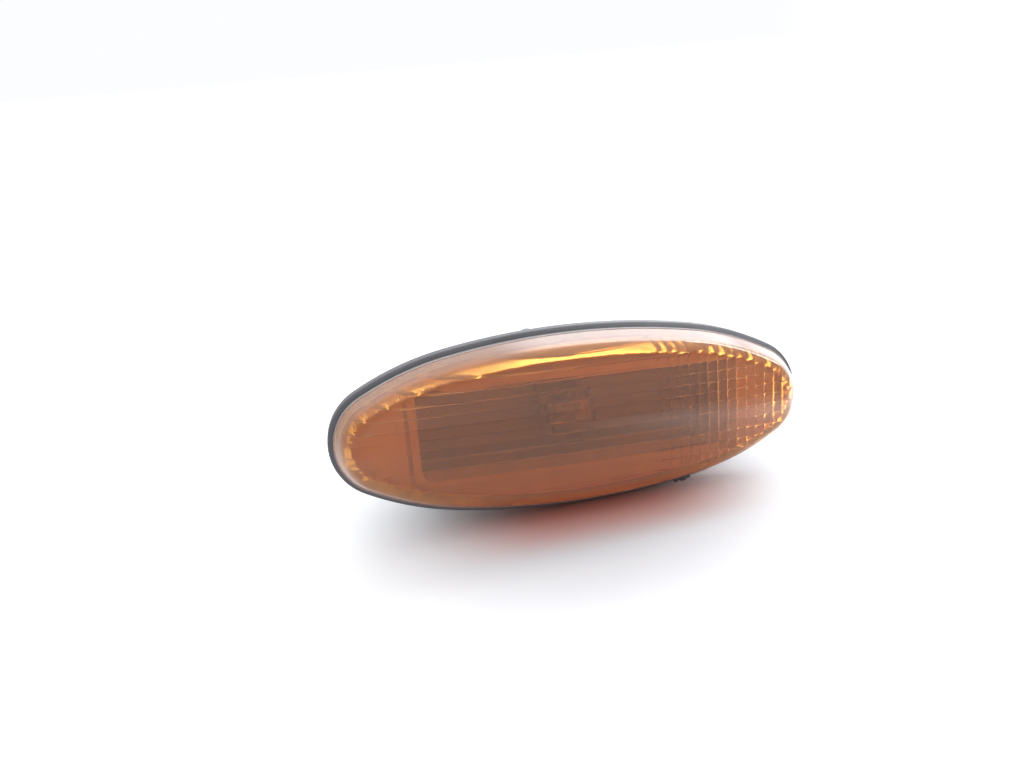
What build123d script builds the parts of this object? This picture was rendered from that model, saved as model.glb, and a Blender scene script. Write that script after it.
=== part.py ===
from build123d import *

import os
from math import asin, cos, degrees, radians, sin, sqrt

# Oval side repeater lamp for a car's front wing. The lens faces -Y, its long axis is X and +Z is up.
# The origin is the middle of the gasket's back face, which seats on the body panel: what stands proud
# of the wing lies towards -Y, and what reaches through the panel lies towards +Y.

# Lens outline, an oval of three arc radii
lens_length = 92.0
lens_height = 33.6
end_radius = 10.0
end_sweep = 61.0  # degrees from the long axis to where the end arc stops
flank_start = 80.0  # degrees from the long axis to where the long flank arc starts

# Lens shell and the square cells moulded on its inside
lens_crown = 7.5
crown_long_radius = 500.0
crown_cross_radius = 70.0
shoulder_radius = 4.0
lens_draft = 22.0
lens_wall = 2.4
crown_wall = 2.8
cavity_draft = 14.0
cell_pitch = 2.0
cell_groove = 0.3
columns_left = 33.0  # the columns of cells start this far to the left of the middle
columns_right = 14.0  # and this far to the right of it, and the rows run through between

# Rubber gasket round the flange and under it
gasket_web = 1.2
gasket_rim = 1.0
gasket_step = 0.8  # how far the rim stays behind the lens's foot
gasket_edge = 0.35
gasket_gap = 0.05
gasket_relief = 0.4

# Housing: flange, weld rib, light pocket with a narrow channel round it, and the boss through the panel
flange_thickness = 2.0
rib_height = 1.5
rib_thickness = 0.8
rib_gap = 0.6
end_margin = 15.5
pocket_room = 0.5
pocket_corner = 2.0
channel_margin = 1.4
channel_width = 0.9
channel_depth = 1.0
boss_wall = 2.0
boss_depth = 15.5
back_wall = 2.0
boss_edge = 0.8

# Panel fixings on the ends of the boss
panel_grip = 1.0
hook_width = 9.0
hook_reach = 2.6
hook_tip = 1.2
hook_length = 6.0
clip_width = 8.0
clip_thickness = 0.6
clip_leg = 11.0
clip_setback = 2.6
clip_turn = 2.6
clip_spread = 5.0
clip_return = 2.4
clip_bend = 1.0
stud_radius = 1.2
stud_head_radius = 2.1
stud_head = 0.7
stud_pitch = 5.0
stud_gap = 0.1

# Wedge-base bulb
bulb_radius = 5.1
bulb_length = 26.8
bulb_glass_wall = 0.7
bulb_tip = 3.0  # how far the glass tip stands in front of the panel seat
pinch_length = 8.3
pinch_width = 9.5
pinch_thickness = 2.1
neck_taper = 4.5
lead_radius = 0.25
lead_spacing = 5.2
lead_fold = 5.0
filament_radius = 0.3
filament_depth = 7.0  # from the glass tip back to the ends of the lead wires
filament_rise = 1.3
filament_bend = 1.0

# Twist-lock bulb holder
bulb_gap = 0.25
holder_neck_wall = 0.85
twist_gap = 0.1
lug_reach = 1.3
lug_width = 4.4
lug_thickness = 1.6
lug_gap = 0.2
twist_angle = 60.0
seal_width = 2.6
seal_thickness = 1.2
holder_flange = 2.0
holder_flange_rim = 0.5
holder_radius = 7.8
socket_floor = 1.6
socket_clearance = 1.4
wedge_gap = 0.2
connector_depth = 8.0
connector_width = 9.2
connector_height = 8.4
connector_corner = 0.8
grip_span = 23.6
grip_thickness = 4.0
grip_depth = 7.0
holder_edge = 0.5

# Contact strips, 6.3 mm blades at the connector end
blade_width = 6.3
blade_thickness = 0.8
blade_spacing = 5.8
blade_inset = 1.0
contact_gap = 0.02
strip_gap = 0.05
contact_flare = 0.6
contact_bend = 0.5

# Levels in front of the panel seat
lens_base = gasket_web + flange_thickness
lens_front = lens_base + lens_crown
crown_axis = crown_long_radius - lens_front

# Levels and radii that follow from the fits
bulb_end = bulb_length - bulb_tip
pinch_start = bulb_end - pinch_length
holder_bore = bulb_radius + bulb_gap
neck_radius = holder_bore + holder_neck_wall
lug_radius = neck_radius + lug_reach
lug_bar = 2 * boss_wall + 2 * lug_radius  # bar across both lugs, longer than the circle that trims it
lug_back = boss_depth - back_wall - twist_gap
lug_front = lug_back - lug_thickness
seal_front = boss_depth + twist_gap
holder_front = seal_front + seal_thickness
holder_back = holder_front + holder_flange
seal_radius = neck_radius + seal_width
socket_end = bulb_end + socket_clearance
connector_floor = socket_end + socket_floor
connector_mouth = connector_floor + connector_depth

# Plan sizes of the housing
pocket_length = lens_length - 2 * end_margin
pocket_height = 2 * (lug_radius + pocket_room)
boss_length = pocket_length + 2 * boss_wall
boss_height = pocket_height + 2 * boss_wall
boss_corner = pocket_corner + boss_wall
clip_face = boss_length / 2
hook_end = boss_length / 2 + hook_reach
clip_line = clip_face + clip_thickness / 2
clip_end = clip_line + clip_spread + clip_thickness / 2

# Heat-staked studs for the clip: a pin with a dome cap, which is part of a ball centred on the pin
stud_middle = clip_setback + clip_leg / 2
stud_levels = (stud_middle - stud_pitch / 2, stud_middle + stud_pitch / 2)
stud_seat = clip_face + clip_thickness + contact_gap
stud_top = stud_seat + stud_head
stud_dome = (stud_head_radius**2 + stud_head**2) / (2 * stud_head)
stud_dome_angle = degrees(asin(stud_head_radius / stud_dome))


def ahead(depth):
    # Sketch plane that far in front of the panel seat, with X to the right and Z up
    return Plane.XZ.offset(depth)


def behind(depth):
    # Sketch plane that far behind the panel seat, with X to the right and Z up
    return Plane.XZ.offset(-depth)


def oval(grow):
    # The lens outline grown outwards: end arcs, shoulder arcs and flank arcs that meet tangentially.
    # Both unknown radii follow from the two conditions that the flank arc is centred on the short
    # axis and passes through its end.
    half_length = lens_length / 2
    half_height = lens_height / 2
    end_angle = radians(end_sweep)
    flank_angle = radians(flank_start)
    run = half_length - end_radius + end_radius * cos(end_angle)
    rise = half_height - end_radius * sin(end_angle)
    lift = 1 - sin(flank_angle)
    spread = cos(end_angle) - cos(flank_angle)
    climb = sin(flank_angle) - sin(end_angle)
    shoulder = (rise * cos(flank_angle) - run * lift) / (climb * cos(flank_angle) - spread * lift)
    flank = (run - shoulder * spread) / cos(flank_angle)
    end_x = half_length - end_radius
    shoulder_x = end_x + (end_radius - shoulder) * cos(end_angle)
    shoulder_z = (end_radius - shoulder) * sin(end_angle)
    flank_z = half_height - flank
    turn = flank_start - end_sweep
    crest = 180 - 2 * flank_start
    with BuildSketch() as outline:
        with BuildLine():
            for side, start in ((1, 0), (-1, 180)):
                CenterArc((side * end_x, 0), end_radius + grow, start - end_sweep, 2 * end_sweep)
                CenterArc((side * shoulder_x, side * shoulder_z), shoulder + grow, start + end_sweep, turn)
                CenterArc((0, side * flank_z), flank + grow, start + flank_start, crest)
                CenterArc((-side * shoulder_x, side * shoulder_z), shoulder + grow, start + 180 - flank_start, turn)
        make_face()
    return outline.sketch


# Crown of the lens: an arc across the lamp swung about a vertical axis far behind it.
# The section is drawn on the far side of that axis, which keeps the surface's seam off the lens.
crown_reach = lens_height
crown_rim = crown_axis + crown_long_radius
crown_sag = crown_cross_radius - sqrt(crown_cross_radius**2 - crown_reach**2)
with BuildPart() as crown:
    with BuildSketch(Plane.YZ):
        with BuildLine():
            ThreePointArc((crown_rim - crown_sag, -crown_reach), (crown_rim, 0), (crown_rim - crown_sag, crown_reach))
            Polyline(
                (crown_rim - crown_sag, crown_reach),
                (crown_rim - lens_length, crown_reach),
                (crown_rim - lens_length, -crown_reach),
                (crown_rim - crown_sag, -crown_reach),
            )
        make_face()
    revolve(axis=Axis((0, crown_axis, 0), (0, 0, 1)))

# Cell optics: two ridged blocks whose fronts follow the crown, one ridged across and one along the
# lamp. Where both are hollowed out of the lens, each cell is left as a low pyramid between grooves,
# and in the middle the rows alone are left as long flutes.
optic_radius = crown_long_radius - crown_wall


def ridge(step):
    # Radius of the ridged front at a half-cell step: grooves on the odd steps
    return optic_radius + cell_groove * (step % 2)


def column_ridge(step):
    # The same for the columns, which sink below the rows in the middle of the lens
    in_middle = -columns_left < step * cell_pitch / 2 < columns_right
    return optic_radius - cell_groove if in_middle else ridge(step)


half_columns = round(lens_length / 2 / cell_pitch) + 1
half_rows = round(lens_height / 2 / cell_pitch) + 1
column_points = []
for step in range(-2 * half_columns, 2 * half_columns + 1):
    swing = step * cell_pitch / 2 / optic_radius
    column_points.append((column_ridge(step) * sin(swing), crown_axis - column_ridge(step) * cos(swing)))
row_points = []
for step in range(-2 * half_rows, 2 * half_rows + 1):
    row_points.append((crown_axis + ridge(step), step * cell_pitch / 2))

with BuildPart() as column_optics:
    with BuildSketch(Plane.XY):
        with BuildLine():
            Polyline(*column_points, (column_points[-1][0], 0), (column_points[0][0], 0), close=True)
        make_face()
    extrude(amount=lens_height, both=True)

with BuildPart() as row_optics:
    with BuildSketch(Plane.YZ):
        row_back = crown_rim - lens_length
        with BuildLine():
            Polyline(*row_points, (row_back, row_points[-1][1]), (row_back, row_points[0][1]), close=True)
        make_face()
    revolve(axis=Axis((0, crown_axis, 0), (0, 0, 1)))


def lens_cavity(optics):
    # The tapered hollow of the lens, closed at the front by one of the ridged blocks
    with BuildPart() as hollow:
        with BuildSketch(ahead(lens_base)):
            add(oval(-lens_wall))
        extrude(amount=lens_crown, taper=cavity_draft)
        add(optics, mode=Mode.INTERSECT)
    return hollow.part


# Lens: drafted wall, rounded shoulder, crowned front and celled inside
cavity_across = lens_cavity(column_optics.part)
cavity_along = lens_cavity(row_optics.part)
with BuildPart() as lens:
    with BuildSketch(ahead(lens_base)):
        add(oval(0))
    extrude(amount=lens_crown + shoulder_radius, taper=lens_draft)
    add(crown.part, mode=Mode.INTERSECT)
    fillet(lens.faces().sort_by(Axis.Y)[0].edges(), radius=shoulder_radius)
    add([cavity_across, cavity_along], mode=Mode.SUBTRACT)

# Gasket: a rim round the flange and a web under it, with a window for the boss that is relieved at
# both ends, so that the gasket slips on over the hook and the clip
with BuildPart() as gasket:
    with BuildSketch(ahead(0)):
        add(oval(gasket_rim))
    extrude(amount=lens_base - gasket_step)
    fillet(gasket.faces().sort_by(Axis.Y)[0].edges(), radius=gasket_edge)
    with BuildSketch(ahead(gasket_web)):
        add(oval(gasket_gap))
    extrude(amount=flange_thickness, mode=Mode.SUBTRACT)
    with BuildSketch(ahead(0)):
        RectangleRounded(boss_length + 2 * gasket_gap, boss_height + 2 * gasket_gap, boss_corner + gasket_gap)
        with Locations((-hook_end - gasket_relief, 0)):
            Rectangle(hook_end, hook_width + 2 * gasket_relief, align=(Align.MIN, Align.CENTER))
        with Locations((clip_end + gasket_relief, 0)):
            Rectangle(clip_end, clip_width + 2 * gasket_relief, align=(Align.MAX, Align.CENTER))
    extrude(amount=gasket_web, mode=Mode.SUBTRACT)


def pocket_frame(grow):
    # The light pocket's outline grown outwards
    with BuildSketch() as outline:
        RectangleRounded(pocket_length + 2 * grow, pocket_height + 2 * grow, pocket_corner + grow)
    return outline.sketch


# Housing: flange, weld rib, boss, channel and pocket, bayonet aperture, hook and heat-staked clip studs
with BuildPart() as housing:
    with BuildSketch(ahead(gasket_web)):
        add(oval(0))
    extrude(amount=flange_thickness)
    with BuildSketch(ahead(lens_base)):
        add(oval(-lens_wall - rib_gap))
        add(oval(-lens_wall - rib_gap - rib_thickness), mode=Mode.SUBTRACT)
    extrude(amount=rib_height)
    with BuildSketch(ahead(gasket_web)):
        RectangleRounded(boss_length, boss_height, boss_corner)
    extrude(amount=-gasket_web - boss_depth)
    fillet(housing.faces().sort_by(Axis.Y)[-1].edges(), radius=boss_edge)
    with BuildSketch(ahead(lens_base - channel_depth)):
        add(pocket_frame(channel_margin + channel_width))
        add(pocket_frame(channel_margin), mode=Mode.SUBTRACT)
    extrude(amount=channel_depth + rib_height, mode=Mode.SUBTRACT)
    with BuildSketch(ahead(lens_base)):
        add(pocket_frame(0))
    extrude(amount=-lens_base - boss_depth + back_wall, mode=Mode.SUBTRACT)
    with BuildSketch(behind(boss_depth)):
        Circle(lug_radius + lug_gap)
        Rectangle(lug_bar, lug_width + 2 * lug_gap, rotation=-twist_angle, mode=Mode.INTERSECT)
        Circle(neck_radius + twist_gap)
    extrude(amount=back_wall, mode=Mode.SUBTRACT)
    with BuildSketch(Plane.XY):
        with BuildLine():
            Polyline(
                (-boss_length / 2 + boss_wall / 2, panel_grip),
                (-hook_end, panel_grip),
                (-hook_end, panel_grip + hook_tip),
                (-boss_length / 2, panel_grip + hook_length),
                (-boss_length / 2 + boss_wall / 2, panel_grip + hook_length),
                close=True,
            )
        make_face()
    extrude(amount=hook_width / 2, both=True)
    for stud_level in stud_levels:
        with BuildSketch(Plane.XY):
            with BuildLine():
                Polyline(
                    (stud_top, stud_level),
                    (clip_face - boss_wall / 2, stud_level),
                    (clip_face - boss_wall / 2, stud_level + stud_radius),
                    (stud_seat, stud_level + stud_radius),
                    (stud_seat, stud_level + stud_head_radius),
                )
                CenterArc((stud_top - stud_dome, stud_level), stud_dome, 0, stud_dome_angle)
            make_face()
        revolve(axis=Axis((0, stud_level, 0), (1, 0, 0)))

# Spring clip: a steel strip staked to the end of the boss, folded back into a leaf that snaps behind the panel
with BuildPart() as spring_clip:
    with BuildSketch(Plane.XY):
        with BuildLine():
            FilletPolyline(
                (clip_line, clip_setback),
                (clip_line, clip_setback + clip_leg),
                (clip_line + clip_turn, clip_setback + clip_leg),
                (clip_line + clip_spread, panel_grip + clip_return),
                (clip_line + clip_turn, panel_grip),
                radius=clip_bend,
            )
        trace(line_width=clip_thickness)
    extrude(amount=clip_width / 2, both=True)
    for stud_level in stud_levels:
        with Locations(Plane((clip_face, stud_level, 0), z_dir=(1, 0, 0))):
            Cylinder(stud_radius + stud_gap, 2 * clip_thickness, mode=Mode.SUBTRACT)

# Bulb holder: neck with bayonet lugs, flange, socket for the bulb's wedge, grip and connector shroud
with BuildPart() as bulb_holder:
    with BuildSketch(Plane.XY):
        with BuildLine():
            Polyline(
                (0, lug_front),
                (neck_radius, lug_front),
                (neck_radius, holder_front),
                (seal_radius + holder_flange_rim, holder_front),
                (seal_radius + holder_flange_rim, holder_back),
                (holder_radius, holder_back),
                (holder_radius, connector_mouth),
                (0, connector_mouth),
                close=True,
            )
        make_face()
    revolve(axis=Axis.Y)
    with BuildSketch(behind(connector_mouth)):
        SlotOverall(grip_span, grip_thickness, rotation=90)
    extrude(amount=grip_depth)
    fillet(bulb_holder.faces().sort_by(Axis.Y)[-1].edges(), radius=holder_edge)
    with BuildSketch(behind(lug_back)):
        Circle(lug_radius)
        Rectangle(lug_bar, lug_width, mode=Mode.INTERSECT)
    extrude(amount=lug_thickness)
    with BuildSketch(behind(holder_front)):
        Circle(holder_bore)
    extrude(amount=holder_front - lug_front, mode=Mode.SUBTRACT)
    with BuildSketch(behind(socket_end)):
        Rectangle(pinch_width + 2 * wedge_gap, blade_spacing + blade_thickness)
    extrude(amount=socket_end - holder_front, mode=Mode.SUBTRACT)
    with BuildSketch(behind(connector_mouth)):
        RectangleRounded(connector_width, connector_height, connector_corner)
    extrude(amount=connector_depth, mode=Mode.SUBTRACT)
    with BuildSketch(behind(connector_floor)):
        with Locations((0, blade_spacing / 2), (0, -blade_spacing / 2)):
            Rectangle(blade_width + 2 * strip_gap, blade_thickness + 2 * strip_gap)
    extrude(amount=socket_floor, mode=Mode.SUBTRACT)

# Seal ring between the holder's flange and the back of the housing
with BuildPart() as holder_seal:
    with BuildSketch(behind(holder_front)):
        Circle(seal_radius)
        Circle(neck_radius + gasket_gap, mode=Mode.SUBTRACT)
    extrude(amount=seal_thickness)

# Glass bulb: domed tube pressed from both sides into a flat pinch
with BuildPart() as bulb_glass:
    tube_end = pinch_start - neck_taper
    inner_radius = bulb_radius - bulb_glass_wall
    with BuildSketch(Plane.XY):
        with BuildLine():
            CenterArc((0, bulb_radius - bulb_tip), bulb_radius, -90, 90)
            Polyline(
                (bulb_radius, bulb_radius - bulb_tip),
                (bulb_radius, tube_end),
                (pinch_width / 2, pinch_start),
                (pinch_width / 2, bulb_end),
                (0, bulb_end),
                (0, -bulb_tip),
            )
        make_face()
    revolve(axis=Axis.Y)
    press_rise = bulb_radius - pinch_thickness / 2
    for press in (1, -1):
        with BuildSketch(Plane.YZ):
            with BuildLine():
                Polyline(
                    (bulb_end, press * pinch_thickness / 2),
                    (pinch_start, press * pinch_thickness / 2),
                    (pinch_start - 2 * neck_taper, press * (pinch_thickness / 2 + 2 * press_rise)),
                    (bulb_end, press * (pinch_thickness / 2 + 2 * press_rise)),
                    close=True,
                )
            make_face()
        extrude(amount=bulb_radius, both=True, mode=Mode.SUBTRACT)
    with BuildSketch(Plane.XY):
        with BuildLine():
            CenterArc((0, bulb_radius - bulb_tip), inner_radius, -90, 90)
            Polyline(
                (inner_radius, bulb_radius - bulb_tip),
                (inner_radius, tube_end),
                (0, tube_end),
                (0, bulb_glass_wall - bulb_tip),
            )
        make_face()
    revolve(axis=Axis.Y, mode=Mode.SUBTRACT)
    with BuildSketch(behind(bulb_end)):
        with Locations((lead_spacing / 2, 0), (-lead_spacing / 2, 0)):
            Circle(lead_radius)
    extrude(amount=bulb_end - tube_end, mode=Mode.SUBTRACT)


def lead_wire(side):
    # A wire from the filament out through the pinch, folded back along one face of the wedge
    fold_height = pinch_thickness / 2 + lead_radius
    fold_start = bulb_end + lead_radius
    lead_x = side * lead_spacing / 2
    lead_front = filament_depth - bulb_tip
    with BuildPart() as wire:
        with BuildLine(Plane.YZ.offset(lead_x)):
            Line((lead_front, 0), (fold_start, 0))
            CenterArc((fold_start, side * fold_height / 2), fold_height / 2, -90 * side, 180 * side)
            Line((fold_start, side * fold_height), (bulb_end - lead_fold, side * fold_height))
        with BuildSketch(Plane((lead_x, lead_front, 0), x_dir=(1, 0, 0), z_dir=(0, 1, 0))):
            Circle(lead_radius)
        sweep()
    return wire


lead_wire_left = lead_wire(-1)
lead_wire_right = lead_wire(1)

# Filament strung between the two lead wires
with BuildPart() as filament:
    filament_back = filament_depth - bulb_tip
    with BuildLine(Plane.XY):
        FilletPolyline(
            (-lead_spacing / 2, filament_back),
            (-lead_spacing / 2, filament_back - filament_rise),
            (lead_spacing / 2, filament_back - filament_rise),
            (lead_spacing / 2, filament_back),
            radius=filament_bend,
        )
    with BuildSketch(Plane((-lead_spacing / 2, filament_back, 0), x_dir=(1, 0, 0), z_dir=(0, -1, 0))):
        Circle(filament_radius)
    sweep()


def contact_strip(side):
    # A sprung strip that bears on the folded wire, runs through the socket floor and ends as a blade
    contact_line = pinch_thickness / 2 + 2 * lead_radius + contact_gap + blade_thickness / 2
    blade_line = blade_spacing / 2
    contact_front = bulb_end - lead_fold - contact_flare
    with BuildPart() as strip:
        with BuildSketch(Plane.YZ):
            with BuildLine():
                FilletPolyline(
                    (contact_front - contact_flare, side * (contact_line + contact_flare)),
                    (contact_front, side * contact_line),
                    (bulb_end - 2 * contact_flare, side * contact_line),
                    (bulb_end, side * blade_line),
                    (connector_mouth - blade_inset, side * blade_line),
                    radius=contact_bend,
                )
            trace(line_width=blade_thickness)
        extrude(amount=blade_width / 2, both=True)
    return strip


terminal_upper = contact_strip(1)
terminal_lower = contact_strip(-1)

# One file for each piece
os.makedirs("parts", exist_ok=True)
pieces = {
    "lens": lens,
    "gasket": gasket,
    "housing": housing,
    "spring_clip": spring_clip,
    "bulb_holder": bulb_holder,
    "holder_seal": holder_seal,
    "bulb_glass": bulb_glass,
    "lead_wire_left": lead_wire_left,
    "lead_wire_right": lead_wire_right,
    "filament": filament,
    "terminal_upper": terminal_upper,
    "terminal_lower": terminal_lower,
}
for name, piece in pieces.items():
    piece.part.label = name
    export_step(piece.part, f"parts/{name}.step")
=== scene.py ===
from math import cos, pi, radians, sin, tan

import bpy
import numpy as np
from mathutils import Matrix, Quaternion, Vector


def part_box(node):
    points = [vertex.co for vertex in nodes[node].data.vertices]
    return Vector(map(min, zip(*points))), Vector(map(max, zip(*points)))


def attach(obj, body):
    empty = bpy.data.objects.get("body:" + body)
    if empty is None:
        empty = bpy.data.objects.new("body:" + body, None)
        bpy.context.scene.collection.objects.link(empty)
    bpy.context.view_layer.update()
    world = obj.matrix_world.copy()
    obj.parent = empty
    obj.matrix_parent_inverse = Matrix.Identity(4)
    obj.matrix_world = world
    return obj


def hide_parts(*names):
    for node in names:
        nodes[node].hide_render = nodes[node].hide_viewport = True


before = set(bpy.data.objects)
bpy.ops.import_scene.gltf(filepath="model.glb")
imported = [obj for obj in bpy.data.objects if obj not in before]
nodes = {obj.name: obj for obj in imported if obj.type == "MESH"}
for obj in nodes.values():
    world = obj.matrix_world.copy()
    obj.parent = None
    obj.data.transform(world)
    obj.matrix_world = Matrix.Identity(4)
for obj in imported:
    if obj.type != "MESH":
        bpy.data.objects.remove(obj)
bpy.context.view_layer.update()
scene = bpy.context.scene
mm = 0.001
print("frame loaded:", len(nodes), "nodes")


# Shader helpers: a socket that can stand in a sum, and a material that hands out nodes
class Sock:
    def __init__(self, finish, out):
        self.finish = finish
        self.out = out

    def math(self, operation, first, second=0):
        return self.finish.node("Math", {"operation": operation}, {0: first, 1: second})

    def __add__(self, other):
        return self.math("ADD", self, other)

    def __sub__(self, other):
        return self.math("SUBTRACT", self, other)

    def __rsub__(self, other):
        return self.math("SUBTRACT", other, self)

    def __mul__(self, other):
        return self.math("MULTIPLY", self, other)

    def __abs__(self):
        return self.math("ABSOLUTE", self)

    def orMore(self, other):  # the larger of the two
        return self.math("MAXIMUM", self, other)

    __radd__ = __add__
    __rmul__ = __mul__


class Graph:
    def __init__(self, tree, shader):
        self.tree = tree
        self.shader = tree.nodes[shader]

    def node(self, kind, settings=None, sockets=None, out=0):
        made = self.tree.nodes.new("ShaderNode" + kind)
        for key, value in (settings or {}).items():
            if key == "stops":  # a ramp's stops, as (position, grey level)
                ends = made.color_ramp.elements
                for end, (position, level) in zip(ends, value):
                    end.position = position
                    end.color = (level, level, level, 1)
            else:
                setattr(made, key, value)
        for key, value in (sockets or {}).items():
            self.feed(made.inputs[key], value)
        return Sock(self, made.outputs[out])

    def feed(self, socket, value):
        if isinstance(value, Sock):
            self.tree.links.new(value.out, socket)
        elif isinstance(value, tuple) and socket.type == "RGBA":
            socket.default_value = (*value, 1)
        else:
            socket.default_value = value

    def set(self, **sockets):  # the shader's own sockets, by their names without spaces
        byName = {socket.name.replace(" ", ""): socket for socket in self.shader.inputs}
        for key, value in sockets.items():
            self.feed(byName[key], value)

    def step(self, value, low, high):  # smooth rise from 0 at low to 1 at high
        sockets = {"Value": value, "From Min": low, "From Max": high}
        return self.node("MapRange", {"interpolation_type": "SMOOTHSTEP"}, sockets)

    def split(self, vector):  # its three parts
        return [Sock(self, out) for out in self.node("SeparateXYZ", None, {0: vector}).out.node.outputs]

    def rays(self, *kinds):  # for each kind of ray, 1 where the light path is one of them
        return [self.node("LightPath", out="Is " + kind + " Ray") for kind in kinds]


class Finish(Graph):
    def __init__(self, name):
        self.material = bpy.data.materials.new(name)
        self.material.use_nodes = True
        super().__init__(self.material.node_tree, "Principled BSDF")
        self.place = self.node("TexCoord", out="Object")

    def axes(self):
        return self.split(self.place)

    def noise(self, size, stretch=(1, 1, 1), detail=3.0):  # grain of that size in metres
        place = self.node("Mapping", None, {"Vector": self.place, "Scale": stretch})
        return self.node("TexNoise", None, {"Vector": place, "Scale": 1 / size, "Detail": detail})

    def ramp(self, value, low, high):  # 0 up to low, 1 from high on
        return self.node("ValToRGB", {"stops": [(low, 0), (high, 1)]}, {"Fac": value})

    def blend(self, mask, first, second):
        mixed = self.node("Mix", {"data_type": "RGBA"}, {"Factor": mask}, out=2)
        self.feed(mixed.out.node.inputs[6], first)
        self.feed(mixed.out.node.inputs[7], second)
        return mixed

    def cover(self, mask, other):  # another shader over what the material has so far, by a mask
        surface = self.tree.nodes["Material Output"].inputs["Surface"]
        under = Sock(self, surface.links[0].from_socket)
        self.feed(surface, self.node("MixShader", None, {0: mask, 1: under, 2: other}))

    def bump(self, height, distance, strength):
        sockets = {"Height": height, "Distance": distance, "Strength": strength}
        self.set(Normal=self.node("Bump", None, sockets))


# Mesh helpers
def gridFaces(down, across):  # two triangles for each cell of a grid of points, row after row
    start = np.arange(down - 1)[:, None] * across + np.arange(across - 1)
    a, b, c, d = start, start + 1, start + across + 1, start + across
    return np.concatenate([np.stack([a, b, c], -1).reshape(-1, 3), np.stack([a, c, d], -1).reshape(-1, 3)])


def joinGrids(grids, tolerance=1e-7):  # grids of points to one welded mesh, with no empty triangles
    points, faces, base = [], [], 0
    for grid, turned in grids:
        made = gridFaces(*grid.shape[:2]) + base
        faces.append(made[:, ::-1] if turned else made)
        points.append(grid.reshape(-1, 3))
        base += grid.shape[0] * grid.shape[1]
    points, faces = np.concatenate(points), np.concatenate(faces)
    keys = np.round(points / tolerance).astype(np.int64)
    _, first, same = np.unique(keys, axis=0, return_index=True, return_inverse=True)
    faces = same.reshape(-1)[faces]
    a, b, c = faces.T
    return points[first], faces[(a != b) & (b != c) & (c != a)]


def addPiece(name, points, faces, finish, body, slot, crease):
    mesh = bpy.data.meshes.new(name)
    mesh.from_pydata(points.tolist(), [], faces.tolist())
    mesh.shade_smooth()
    mesh.set_sharp_from_angle(angle=crease)
    mesh.materials.append(finish.material)
    piece = bpy.data.objects.new(name, mesh)
    scene.collection.objects.link(piece)
    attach(piece, body)
    print("piece", name, len(faces), "triangles")
    return piece


# Lens: the outline is three tangent arcs, the front a crown of two radii, the inside a field of cells
lensLow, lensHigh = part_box("lens")
lensSpec = {
    "halfLength": lensHigh.x, "halfHeight": lensHigh.z,
    "base": -lensHigh.y + 0.05 * mm, "front": -lensLow.y,  # ahead of the panel seat, a hair off the flange
    "endRadius": 10 * mm, "endSweep": radians(61), "flankStart": radians(80),
    "crownLong": 500 * mm, "crownCross": 70 * mm, "spine": 0.25,
    "shoulder": 4 * mm, "draft": radians(22), "lip": 0.2 * mm,
    "wall": 2.4 * mm, "crownWall": 2.8 * mm, "cavityDraft": radians(14),
    "bevel": radians(58), "bevelFoot": radians(70), "bevelRun": 1.6 * mm,
    "bevelShare": 0.44, "bevelBlend": 0.25 * mm,
    "pitch": 2 * mm, "grooveHalf": 0.2 * mm,
    "rowPillow": 0.05 * mm, "rowGroove": 0.05 * mm, "rowGrooveEdge": 0.2 * mm, "rowFade": (4 * mm, 11 * mm),
    "cellPillow": 0.14 * mm, "cellGroove": 0.06 * mm,
    "columnsLeft": -32 * mm, "leftShare": 0.55,
    "columnsRight": 14 * mm, "columnsFirst": 0.6, "columnsFade": 18 * mm,
    "plain": 1 * mm, "levels": 70, "lipSteps": 5, "wallSteps": 6, "bendSteps": 13, "crownSteps": 26,
    "crease": radians(30),
}


def ovalArcs(spec):  # centre and radius of the end, shoulder and flank arcs in the first quarter
    endTurn, flankTurn = spec["endSweep"], spec["flankStart"]
    run = spec["halfLength"] - spec["endRadius"] * (1 - cos(endTurn))
    rise = spec["halfHeight"] - spec["endRadius"] * sin(endTurn)
    lift = 1 - sin(flankTurn)
    spread = cos(endTurn) - cos(flankTurn)
    climb = sin(flankTurn) - sin(endTurn)
    side = (rise * cos(flankTurn) - run * lift) / (climb * cos(flankTurn) - spread * lift)
    flank = (run - side * spread) / cos(flankTurn)
    endX = spec["halfLength"] - spec["endRadius"]
    sideX = endX + (spec["endRadius"] - side) * cos(endTurn)
    sideZ = (spec["endRadius"] - side) * sin(endTurn)
    return (endX, 0, spec["endRadius"]), (sideX, sideZ, side), (0, spec["halfHeight"] - flank, flank)


def oval(spec, turn, grow=0.0):  # point of the outline whose normal has that direction, moved out along it
    fold = np.arctan2(np.abs(np.sin(turn)), np.abs(np.cos(turn)))
    which = np.digitize(fold, [spec["endSweep"], spec["flankStart"]])
    centreX, centreZ, radius = np.array(ovalArcs(spec)).T[:, which]
    x = (centreX + radius * np.cos(fold)) * np.sign(np.cos(turn)) + grow * np.cos(turn)
    z = (centreZ + radius * np.sin(fold)) * np.sign(np.sin(turn)) + grow * np.sin(turn)
    return x, z


def insetAt(spec, x, z):  # how far a point lies inside the outline, measured from the arc that it faces
    (endX, _, endR), (sideX, sideZ, sideR), (_, flankZ, flankR) = ovalArcs(spec)
    x, z = np.abs(x), np.abs(z)
    byEnd = np.arctan2(z, x - endX) < spec["endSweep"]
    bySide = np.arctan2(z - sideZ, x - sideX) < spec["flankStart"]
    inFlank = np.where(bySide, sideR - np.hypot(x - sideX, z - sideZ), flankR - np.hypot(x, z - flankZ))
    return np.where(byEnd, endR - np.hypot(x - endX, z), inFlank)


def crownAhead(spec, x, z):  # the front: an arc across the lamp swung about a far axis behind it
    sag = spec["crownCross"] - np.sqrt(spec["crownCross"] ** 2 - z**2)
    return np.sqrt((spec["crownLong"] - sag) ** 2 - x**2) - (spec["crownLong"] - spec["front"])


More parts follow.
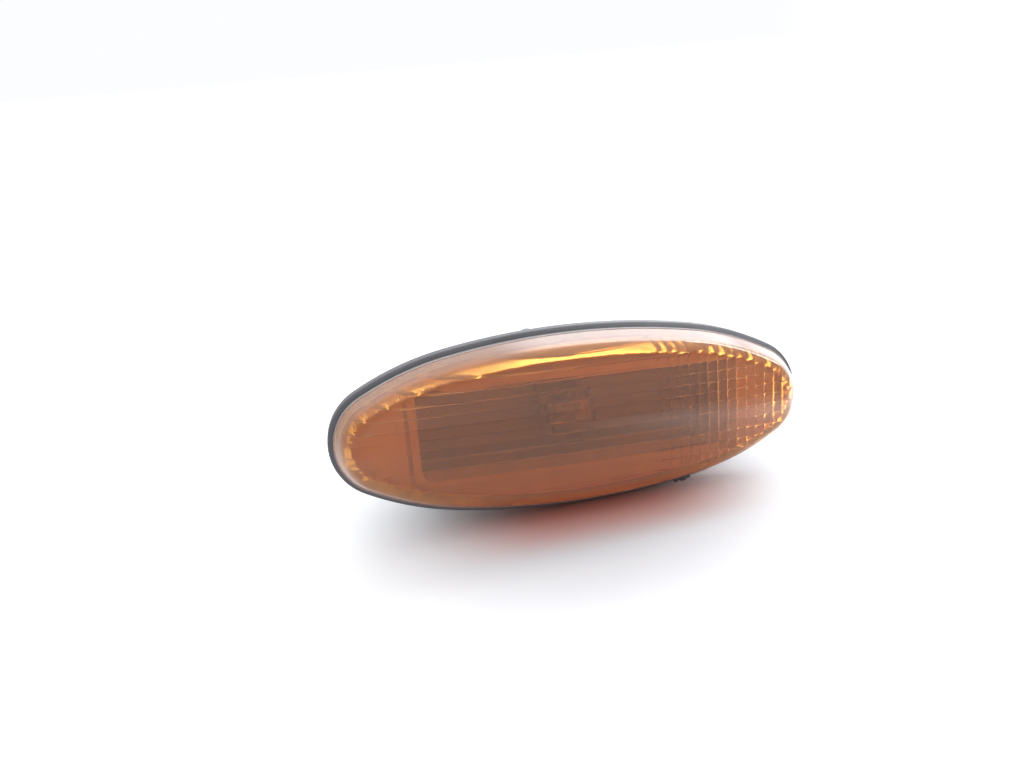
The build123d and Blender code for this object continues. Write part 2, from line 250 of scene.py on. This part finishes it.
def cellDepth(spec, x, z, inset):  # in rows and columns, a parabola over each cell and a V groove round it
    ontoCells = x - spec["columnsRight"]
    right = spec["columnsFirst"] + (1 - spec["columnsFirst"]) * np.clip(ontoCells / spec["columnsFade"], 0, 1)
    right = right * np.clip(ontoCells / spec["pitch"] + 0.5, 0, 1)  # cells deepen to the right
    columns = right + spec["leftShare"] * (x < spec["columnsLeft"])
    fadeStart, fadeEnd = spec["rowFade"]
    edge = 1 - np.clip((inset - fadeStart) / (fadeEnd - fadeStart), 0, 1)
    edge = edge * np.clip(z / fadeStart, 0, 1) * (x < 0)  # deeper rows by the upper left edge
    rowPillow = spec["rowPillow"] + (spec["cellPillow"] - spec["rowPillow"]) * right
    rowGroove = spec["rowGroove"] + (spec["cellGroove"] - spec["rowGroove"]) * right
    rowGroove = rowGroove + (spec["rowGrooveEdge"] - spec["rowGroove"]) * edge
    depth = 0
    for place, pillow, groove in (
        (z, rowPillow, rowGroove),
        (x, spec["cellPillow"] * columns, spec["cellGroove"] * columns),
    ):
        off = np.abs(place / spec["pitch"] - np.round(place / spec["pitch"]))
        notch = np.clip(1 - (0.5 - off) * spec["pitch"] / spec["grooveHalf"], 0, 1)
        depth = depth + pillow * (2 * off) ** 2 + groove * notch
    return depth


def softMin(first, second, blend):  # the lower of two heights, rounded over where they cross
    near = np.clip(1 - np.abs(first - second) / blend, 0, 1)
    return np.minimum(first, second) - near**2 * blend / 4


def cavityAhead(spec, x, z):  # inside of the lens: the lowest of a leaning wall, a bevel and a curved ceiling
    inset = insetAt(spec, x, z)
    cells = cellDepth(spec, x, z, inset)
    inset = inset - spec["wall"]
    inset = inset + cells * np.clip(inset / spec["grooveHalf"], 0, 1)
    ceilingRadius = spec["crownLong"] - spec["crownWall"] + cells
    ceiling = np.sqrt(ceilingRadius**2 - x**2) - (spec["crownLong"] - spec["front"]) - spec["base"]
    leaning = inset / tan(spec["cavityDraft"])
    down = spec["bevelShare"] * ceiling - inset
    bend = (tan(spec["bevelFoot"]) - tan(spec["bevel"])) / (2 * spec["bevelRun"])  # steeper towards its foot
    bevel = ceiling - down * tan(spec["bevel"]) - bend * np.maximum(down, 0) ** 2
    inside = softMin(softMin(leaning, bevel, spec["bevelBlend"]), ceiling, spec["bevelBlend"])
    return spec["base"] + np.maximum(inside, 0)


def cellLines(spec, low, high):  # lines of the mesh: in each groove, at its two edges and over the cell
    edge = spec["pitch"] / 2 - spec["grooveHalf"]
    middles = np.arange(np.floor(low / spec["pitch"]), np.ceil(high / spec["pitch"]) + 1) * spec["pitch"]
    lines = (middles[:, None] + [-spec["pitch"] / 2, -edge, -edge / 2, 0, edge / 2, edge]).ravel()
    return lines[(lines > low) & (lines < high)]


def lensTurns(spec):  # directions round the outline whose points at the cavity's foot lie on the rows' lines
    quarter = np.linspace(0, pi / 2, 4000)
    _, edgeUp = oval(spec, quarter, -spec["wall"])
    level = edgeUp[-1] * np.sin(np.linspace(0, pi / 2, spec["levels"]))
    level = np.unique(np.round(np.concatenate([level, cellLines(spec, 0, edgeUp[-1])]), 5))
    turn = np.interp(level, edgeUp, quarter)
    turn[-1] = pi / 2
    turn = np.concatenate([-turn[:0:-1], turn])  # the right half, from the bottom to the top
    return turn, np.concatenate([turn, pi - turn[-2::-1]])  # and on round the left half


def lensOutside(spec, loop):  # up a lip and the wall, round a shoulder that a ball rolls out, over the crown
    radius, draft = spec["shoulder"], spec["draft"]

    def rise(inset):
        return crownAhead(spec, *oval(spec, loop, -inset)) - spec["base"]

    touch = np.full_like(loop, radius)  # how far in the ball meets the crown
    nudge = 1e-6
    for _ in range(20):
        lean = np.arctan((rise(touch + nudge) - rise(touch - nudge)) / (2 * nudge))
        ballRise = rise(touch) - radius * np.cos(lean)
        touch = (radius + ballRise * sin(draft)) / cos(draft) - radius * np.sin(lean)
    ballInset = touch + radius * np.sin(lean)

    baseX, baseZ = oval(spec, loop)
    bead = np.linspace(0, pi / 2, spec["lipSteps"])[:, None]
    lipUp = spec["lip"] * (1 + np.sin(bead)) * np.ones_like(loop)
    lipX, lipZ = oval(spec, loop, -spec["lip"] * (1 - np.cos(bead)))
    lipTop = 2 * spec["lip"]
    wallShare = np.linspace(0, 1, spec["wallSteps"])[1:, None]
    wallUp = wallShare * (ballRise + radius * sin(draft) - lipTop) + lipTop
    wallX, wallZ = oval(spec, loop, -wallUp * tan(draft))
    roll = draft + np.linspace(0, 1, spec["bendSteps"])[1:, None] * (pi / 2 - lean - draft)
    bendX, bendZ = oval(spec, loop, -(ballInset - radius * np.cos(roll)))
    bendUp = ballRise + radius * np.sin(roll)
    share = np.linspace(0, 1, spec["crownSteps"])[1:, None]
    topX = bendX[-1] * (1 - spec["spine"] * share)
    topZ = bendZ[-1] * (1 - share)
    topUp = crownAhead(spec, topX, topZ) - spec["base"]
    up = np.concatenate([np.zeros((1, len(loop))), lipUp, wallUp, bendUp, topUp])
    return np.stack([
        np.concatenate([baseX[None], lipX, wallX, bendX, topX]),
        -spec["base"] - up,
        np.concatenate([baseZ[None], lipZ, wallZ, bendZ, topZ]),
    ], -1)


def lensInside(spec, turn):  # lines along the lamp, each cut off at the cavity's foot
    edgeX, edgeZ = oval(spec, turn, -spec["wall"])
    edgeX[[0, -1]] = 0
    reach = edgeX.max()
    lines = np.concatenate([
        [-reach], cellLines(spec, -reach, spec["columnsLeft"]),
        np.arange(spec["columnsLeft"], spec["columnsRight"], spec["plain"]),
        [spec["columnsRight"]], cellLines(spec, spec["columnsRight"], reach), [reach],
    ])
    x = np.clip(lines[None, :], -edgeX[:, None], edgeX[:, None])
    z = np.repeat(edgeZ[:, None], len(lines), 1)
    ahead = cavityAhead(spec, x, z)
    ahead[np.abs(x) >= edgeX[:, None]] = spec["base"]
    return np.stack([x, -ahead, z], -1)


def lensFoot(spec, loop, top):  # the flat foot, from the cavity's edge out to the outline
    baseX, baseZ = oval(spec, loop)
    footX, footZ = oval(spec, loop, -spec["wall"])
    footX[[0, top, -1]] = 0
    level = np.full((2, len(loop)), -spec["base"])
    return np.stack([np.stack([footX, baseX]), level, np.stack([footZ, baseZ])], -1)


def makeLens(spec):
    turn, loop = lensTurns(spec)
    return joinGrids([
        (lensOutside(spec, loop), False),
        (lensInside(spec, turn), True),
        (lensFoot(spec, loop, len(turn) - 1), False),
    ])


amberSpec = {
    "clear": (0.95, 0.45, 0.08), "deep": (0.93, 0.40, 0.06), "deepSize": 14 * mm,
    "low": (0.90, 0.27, 0.06), "lowEdge": (-15 * mm, -9 * mm),
    "hazeSize": 3 * mm, "hairSize": 0.3 * mm, "hairStretch": (0.02, 1, 1), "hairEdge": (0.66, 0.72),
    "rough": 0.05, "hazeRough": 0.06, "hairRough": 0.12, "ior": 1.55,
    "coat": 0.4, "hazeCoat": 0.2, "coatRough": 0.03, "coatIor": 1.6,
    "scatter": (0.95, 0.48, 0.34), "scatterShare": 0.10, "hazeScatter": 0.08,
    # whitish veil: partly dust, partly painted reflection, with a painted highlight line at the foot
    "dust": (0.81, 0.83, 0.90), "dustShare": 0.008, "dustLeast": 0.7, "hazeDust": 0.6,
    "footShare": 0.6, "footEdge": (0.15 * mm, 0.45 * mm),
    "veilShare": 0.12, "veilUpper": 0.18, "veilEdge": (0.5 * mm, 5 * mm),
    "upperRise": (4 * mm, 12 * mm), "upperAlong": (-35 * mm, 0),
    "endShare": 0.15, "endEdge": (39 * mm, 46.5 * mm),
}


def makeAmber(spec):
    amber = Finish("amberLens")
    deep = amber.noise(spec["deepSize"], detail=2)
    haze = amber.noise(spec["hazeSize"], detail=4)
    hairlines = amber.ramp(amber.noise(spec["hairSize"], spec["hairStretch"], 2), *spec["hairEdge"])
    along, back, height = amber.axes()
    low = 1 - amber.step(height, *spec["lowEdge"])
    clear = amber.blend(deep, spec["clear"], spec["deep"])
    amber.set(
        BaseColor=amber.blend(low, clear, spec["low"]),  # deeper where the wall is seen through its depth
        Roughness=spec["rough"] + spec["hazeRough"] * haze + spec["hairRough"] * hairlines,
        IOR=spec["ior"],
        TransmissionWeight=1.0,
        CoatWeight=spec["coat"] + spec["hazeCoat"] * haze,
        CoatRoughness=spec["coatRough"],
        CoatIOR=spec["coatIor"],
    )
    scatter = amber.node("BsdfTranslucent", None, {"Color": spec["scatter"]})  # aged plastic, a little milky
    amber.cover(spec["scatterShare"] + spec["hazeScatter"] * haze, scatter)

    # Whitish veil, partly dust and partly painted reflection: a painted highlight line where the lens meets
    # the gasket, a band round the foot, and more along the upper left wall and at the right end
    ahead = back * -1 - lensSpec["base"]  # above the lens's foot
    foot = 1 - amber.step(ahead, *spec["footEdge"])
    veil = 1 - amber.step(ahead, *spec["veilEdge"])
    upper = amber.step(height, *spec["upperRise"]) * amber.step(along, *spec["upperAlong"])
    rightEnd = amber.step(along, *spec["endEdge"])
    dustAndPaintedReflection = spec["veilShare"] * veil + spec["veilUpper"] * veil * upper
    dustAndPaintedReflection = dustAndPaintedReflection + spec["footShare"] * foot + spec["endShare"] * rightEnd
    dustAndPaintedReflection = spec["dustShare"] + dustAndPaintedReflection * (spec["dustLeast"] + spec["hazeDust"] * haze)
    amber.cover(dustAndPaintedReflection, amber.node("BsdfDiffuse", None, {"Color": spec["dust"]}))
    return amber


amber = makeAmber(amberSpec)
lens = addPiece("lens_moulding", *makeLens(lensSpec), amber, "lamp", "lens", lensSpec["crease"])
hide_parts("lens")


# Finishes of the CAD pieces
def paint(finish, *names):
    for name in names:
        nodes[name].data.materials.clear()
        nodes[name].data.materials.append(finish.material)


rubberSpec = {
    "black": (0.125, 0.125, 0.134), "aged": (0.22, 0.22, 0.235), "ageSize": 9 * mm,
    # the upper edge is painted paler, as light from above shows it
    "settled": (0.46, 0.455, 0.465), "settledRise": (4 * mm, 12 * mm), "settledAlong": (-15 * mm, 25 * mm),
    "settledLeft": 0.25, "settledLeast": 0.4,
    "grit": (0.34, 0.33, 0.31), "gritSize": 0.35 * mm, "gritEdge": (0.58, 0.76), "gritShare": 0.22,
    "rough": 0.5, "ageRough": 0.25,
    "grainSize": 0.25 * mm, "gritBump": 0.5, "bump": 0.05 * mm, "bumpStrength": 0.45,
}


def makeRubber(spec):
    rubber = Finish("blackRubber")
    age = rubber.noise(spec["ageSize"], detail=6)
    grit = rubber.ramp(rubber.noise(spec["gritSize"], detail=6), *spec["gritEdge"])
    colour = rubber.blend(age, spec["black"], spec["aged"])
    along, _, height = rubber.axes()
    rightwards = spec["settledLeft"] + (1 - spec["settledLeft"]) * rubber.step(along, *spec["settledAlong"])
    settled = rubber.step(height, *spec["settledRise"]) * rightwards  # painted light: the upper edge is paler, more so to the right
    settled = settled * (spec["settledLeast"] + (1 - spec["settledLeast"]) * age)
    colour = rubber.blend(settled, colour, spec["settled"])
    colour = rubber.blend(spec["gritShare"] * grit, colour, spec["grit"])
    rubber.set(BaseColor=colour, Roughness=spec["rough"] + spec["ageRough"] * age)
    grain = rubber.noise(spec["grainSize"]) + spec["gritBump"] * grit
    rubber.bump(grain, spec["bump"], spec["bumpStrength"])
    return rubber


rubber = makeRubber(rubberSpec)
paint(rubber, "gasket", "holder_seal")

# Torn bits of rubber at the lower edge: balls whose radius waves round them, each stretched its own way
tearSpec = {
    "bits": [  # middle and half sizes, in mm
        ((20.9, -1.5, -16.3), (0.55, 0.5, 0.7)),
        ((22.3, -1.6, -16.25), (1.0, 0.55, 0.55)),
        ((23.3, -1.4, -16.3), (0.9, 0.3, 0.22)),
    ],
    "waves": 3, "swell": 0.2, "twist": 2, "around": 28, "down": 16, "crease": radians(60),
}


def makeTear(spec):
    around = np.linspace(0, 2 * pi, spec["around"] + 1)[None, :]
    down = np.linspace(0, pi, spec["down"])[:, None]
    length = np.cos(down) * np.ones_like(around)
    ball = np.stack([length, np.sin(down) * np.cos(around), np.sin(down) * np.sin(around)], -1)
    grids = []
    for turn, (middle, half) in enumerate(spec["bits"]):
        wave = np.sin(spec["waves"] * around + turn + spec["twist"] * np.cos(down))
        radius = 1 + spec["swell"] * np.sin(down) ** 2 * wave
        grids.append(((np.array(middle) + ball * radius[..., None] * half) * mm, True))
    return joinGrids(grids)


addPiece("gasket_tear", *makeTear(tearSpec), rubber, "lamp", "gasket", tearSpec["crease"])

# Grained plastic with cloudy sheen, road dirt in specks and rubbed scratches
mouldedSpec = {
    "cloudSize": 7 * mm, "cloudEdge": (0.35, 0.65),
    "speckSize": 0.9 * mm, "speckEdge": (0.56, 0.76), "speckShare": 0.16,
    "rubSize": 0.4 * mm, "rubStretch": (0.03, 1, 1), "rubEdge": (0.62, 0.70), "rubShare": 0.10,
    "rough": 0.36, "cloudRough": 0.2, "speckRough": 0.12, "rubRough": 0.1,
    "grainSize": 0.3 * mm, "rubBump": 0.4, "bump": 0.03 * mm, "bumpStrength": 0.35,
}


def moulded(finish, spec, light, shade, dirt):
    cloud = finish.noise(spec["cloudSize"], detail=4)
    specks = finish.ramp(finish.noise(spec["speckSize"], detail=8), *spec["speckEdge"])
    rubbed = finish.ramp(finish.noise(spec["rubSize"], spec["rubStretch"], 2), *spec["rubEdge"])
    colour = finish.blend(finish.step(cloud, *spec["cloudEdge"]), light, shade)
    colour = finish.blend(spec["speckShare"] * specks + spec["rubShare"] * rubbed, colour, dirt)
    rough = spec["rough"] + spec["cloudRough"] * cloud
    rough = rough + spec["speckRough"] * specks + spec["rubRough"] * rubbed
    finish.set(BaseColor=colour, Roughness=rough)
    grain = finish.noise(spec["grainSize"]) + spec["rubBump"] * rubbed
    finish.bump(grain, spec["bump"], spec["bumpStrength"])
    return colour


greySpec = {
    "light": (0.60, 0.59, 0.57), "shade": (0.53, 0.52, 0.50), "dirt": (0.34, 0.31, 0.27),
    # the pocket's painted shade, darker the deeper it goes
    "smoked": (0.33, 0.32, 0.31), "smokeDepth": (-2 * mm, 8 * mm),
    "pocketSide": (31 * mm, 32 * mm), "pocketRise": (8.4 * mm, 9.4 * mm), "pocketBack": (14 * mm, 15 * mm),
}
grey = Finish("greyMoulding")
plainGrey = moulded(grey, mouldedSpec, greySpec["light"], greySpec["shade"], greySpec["dirt"])
side, depth, height = grey.axes()
within = 1 - grey.step(abs(side), *greySpec["pocketSide"])
within = within * (1 - grey.step(abs(height), *greySpec["pocketRise"]))
within = within * (1 - grey.step(depth, *greySpec["pocketBack"]))
paintedShade = within * grey.step(depth, *greySpec["smokeDepth"])  # painted shade: the pocket darkens with depth
grey.set(BaseColor=grey.blend(paintedShade, plainGrey, greySpec["smoked"]))
paint(grey, "housing")

darkSpec = {"light": (0.30, 0.30, 0.31), "shade": (0.25, 0.25, 0.26), "dirt": (0.20, 0.18, 0.15)}
dark = Finish("darkMoulding")
moulded(dark, mouldedSpec, darkSpec["light"], darkSpec["shade"], darkSpec["dirt"])
paint(dark, "bulb_holder")


def makeMetal(name, spec):  # streaks or stains between two tones
    metal = Finish(name)
    tone = metal.noise(spec["size"], spec["stretch"])
    colour = metal.blend(tone, spec["first"], spec["second"])
    metal.set(BaseColor=colour, Roughness=spec["rough"] + spec["toneRough"] * tone, Metallic=1.0)
    return metal


steelSpec = {
    "first": (0.52, 0.52, 0.53), "second": (0.66, 0.66, 0.67), "size": 0.4 * mm, "stretch": (1, 1, 0.05),
    "rough": 0.25, "toneRough": 0.2,
}
brassSpec = {
    "first": (0.78, 0.58, 0.27), "second": (0.60, 0.42, 0.20), "size": 2 * mm, "stretch": (1, 1, 1),
    "rough": 0.25, "toneRough": 0.2,
}
paint(makeMetal("springSteel", steelSpec), "spring_clip", "lead_wire_left", "lead_wire_right", "filament")
paint(makeMetal("brassStrip", brassSpec), "terminal_upper", "terminal_lower")

glassSpec = {
    "colour": (0.97, 0.98, 0.98), "ior": 1.5, "rough": 0.01, "streakSize": 4 * mm, "streakRough": 0.02,
}
glass = Finish("bulbGlass")
streaked = glassSpec["rough"] + glassSpec["streakRough"] * glass.noise(glassSpec["streakSize"])
glass.set(BaseColor=glassSpec["colour"], Roughness=streaked, IOR=glassSpec["ior"], TransmissionWeight=1.0)
paint(glass, "bulb_glass")
print("finishes set")

# Floor: a pale sheet that the lamp lies on, on its gasket and the tail of the holder
gasketLow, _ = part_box("gasket")
holderLow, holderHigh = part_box("bulb_holder")
slope = (holderLow.z - gasketLow.z) / holderHigh.y  # rise of the floor behind the gasket
floorSpec = {
    "size": 6.0, "gap": 0.02 * mm, "roll": -0.04, "colour": (0.88, 0.89, 0.915), "rough": 0.9,
    "white": 0.5, "whiteFrom": (0.018, 0.065),  # to the camera, away from the lamp
    # a glow painted into the floor's emission, seen only in mirrors
    "rightFrom": (0.028, 0.075), "leftFrom": (-0.07, -0.02), "left": 0.25, "mirrorFade": (0.09, 0.22),
    "bright": 3.2, "brightFrom": (0.06, 0.1), "brightFront": (-0.1, -0.03),
    "underFrom": (0.034, 0.056), "underFront": (-0.012, 0),
    # the amber light cast in front of the lens is painted into the floor's colour
    "cast": (0.76, 0.42, 0.37), "castAt": (4 * mm, -4 * mm),
    "castAlong": (10 * mm, 38 * mm), "castAcross": (4 * mm, 15 * mm),
}


def makeFloor(spec):
    half = spec["size"] / 2
    corners = np.array([(-half, -half), (half, -half), (half, half), (-half, half)])
    level = gasketLow.z - spec["gap"] + corners[:, 1] * slope - corners[:, 0] * spec["roll"]
    mesh = bpy.data.meshes.new("floor")
    mesh.from_pydata(np.column_stack([corners, level]).tolist(), [], [(0, 1, 2, 3)])
    floor = bpy.data.objects.new("floor", mesh)
    scene.collection.objects.link(floor)
    return floor


def makePaper(spec):
    paper = Finish("paleFloor")
    far = paper.node("VectorMath", {"operation": "LENGTH"}, {0: paper.place}, out="Value")
    toCamera, inMirror = paper.rays("Camera", "Glossy")
    sideways, inward, _ = paper.axes()

    # Painted reflection: a glow painted into the floor that only mirrors see, bright on the right and under
    # the right end, and darker in front, by the viewer
    onLeft = 1 - paper.step(sideways, *spec["leftFrom"])
    lit = paper.step(sideways, *spec["rightFrom"]) + spec["left"] * onLeft
    lit = lit * (1 - paper.step(far, *spec["mirrorFade"]))
    bright = paper.step(sideways, *spec["brightFrom"])
    under = paper.step(sideways, *spec["underFrom"]) * paper.step(inward, *spec["underFront"])
    lit = lit + spec["bright"] * bright * paper.step(inward, *spec["brightFront"])
    lit = lit + spec["bright"] * (1 - bright) * under
    pale = spec["white"] * toCamera * paper.step(far, *spec["whiteFrom"]) + inMirror * lit

    # Painted light: an amber pool painted into the floor's colour just in front, standing for the light the
    # lens throws
    paintedCastX, paintedCastY = spec["castAt"]
    cast = 1 - paper.step(abs(inward - paintedCastY), *spec["castAcross"])
    cast = cast * (1 - paper.step(abs(sideways - paintedCastX), *spec["castAlong"]))
    colour = paper.blend(cast, spec["colour"], spec["cast"])
    paper.set(BaseColor=colour, Roughness=spec["rough"], EmissionColor=pale, EmissionStrength=1.0)
    seenBelow = paper.node("NewGeometry", out="Backfacing")
    paper.cover(seenBelow, paper.node("BsdfTransparent"))  # clear when seen from below
    return paper


floor = makeFloor(floorSpec)
floor.data.materials.append(makePaper(floorSpec).material)

# Soft light all round and from above, and a window behind on the right that the lens's upper wall mirrors
lightSpec = {
    "level": 0.22, "tint": (0.97, 0.985, 1.02), "above": 0.95, "aboveFrom": (0.3, 0.9),
    "frontEdge": (-0.1, 0.4), "mirrorDark": 0.8, "mirrorDarkFrom": (-0.1, 0.7),
    "window": 3.6, "windowAt": (0.44, 0.56, 0.70), "windowEdge": (cos(radians(24)), cos(radians(14))),
    "side": 2.5, "sideAt": (0.88, 0.46, 0.12), "sideEdge": (cos(radians(32)), cos(radians(12))),
    "soft": 0.4,  # share of the window and the side patch that lights the object, and isn't only mirrored
    "frontInside": 0.3, "frontInsideFrom": (0.1, 0.6),  # more for what is seen through the lens
    "rightInside": 1.2, "rightInsideFrom": (0.2, 0.8),
    "behindInside": 0.9, "behindInsideFrom": (0.1, 0.4),
}


def makeSky(spec):
    scene.world = bpy.data.worlds.new("studio")
    scene.world.use_nodes = True
    sky = Graph(scene.world.node_tree, "Background")
    aim = sky.node("TexCoord", out="Generated")
    aimX, aimY, aimZ = sky.split(aim)
    through, glossy, direct = sky.rays("Transmission", "Glossy", "Camera")
    front = 1 - sky.step(aimY, *spec["frontEdge"])

    def patch(name):  # a soft round patch of sky
        places = {0: aim, 1: spec[name + "At"]}
        near = sky.node("VectorMath", {"operation": "DOT_PRODUCT"}, places, out="Value")
        return spec[name] * sky.step(near, *spec[name + "Edge"])

    mirrored = glossy * (1 - spec["mirrorDark"] * front * sky.step(aimZ, *spec["mirrorDarkFrom"]))
    seen = direct.orMore(through.orMore(mirrored))  # white all round, but darker in mirrors high up in front
    above = spec["above"] * sky.step(aimZ, *spec["aboveFrom"])
    window = (patch("window") + patch("side")) * (spec["soft"] + (1 - spec["soft"]) * glossy)
    inside = spec["frontInside"] + spec["rightInside"] * sky.step(aimX, *spec["rightInsideFrom"])
    inside = inside * front * sky.step(aimZ, *spec["frontInsideFrom"])
    inside = inside + spec["behindInside"] * (1 - front) * sky.step(aimZ, *spec["behindInsideFrom"])
    strength = spec["level"] + (1 - spec["level"]) * seen + above + window + inside * through
    sky.set(Color=spec["tint"], Strength=strength)


makeSky(lightSpec)

# A narrow lamp high on the right draws the streak along the shoulder there
stripSpec = {
    "place": Vector((0.40, 0.08, 0.30)), "along": Vector((0.22, -0.10, -0.27)),
    "size": (0.3, 0.05), "power": 0.45,
}
stripData = bpy.data.lights.new("strip", "AREA")
stripData.shape = "RECTANGLE"
stripData.size, stripData.size_y = stripSpec["size"]
stripData.energy = stripSpec["power"]
strip = bpy.data.objects.new("strip", stripData)
strip.location = stripSpec["place"]
away = stripSpec["place"].normalized()
across = away.cross(stripSpec["along"]).normalized()
strip.rotation_mode = "QUATERNION"
strip.rotation_quaternion = Matrix((across.cross(away), across, away)).transposed().to_quaternion()
scene.collection.objects.link(strip)

# Camera at the photograph's place
cameraSpec = {
    "eye": Vector((-41.27, -145.80, 43.33)) * mm, "target": Vector((-11.41, 0, 7.34)) * mm,
    "roll": radians(-4.33), "lens": 28.09, "sensor": 36, "nearest": 1 * mm,
}
cameraData = bpy.data.cameras.new("camera")
cameraData.sensor_width = cameraSpec["sensor"]
cameraData.lens = cameraSpec["lens"]
cameraData.clip_start = cameraSpec["nearest"]
camera = bpy.data.objects.new("camera", cameraData)
camera.location = cameraSpec["eye"]
camera.rotation_mode = "QUATERNION"
look = (cameraSpec["target"] - cameraSpec["eye"]).to_track_quat("-Z", "Y")
camera.rotation_quaternion = look @ Quaternion((0, 0, 1), cameraSpec["roll"])
scene.collection.objects.link(camera)
scene.camera = camera
scene.view_settings.view_transform = "Standard"
print("stage set")
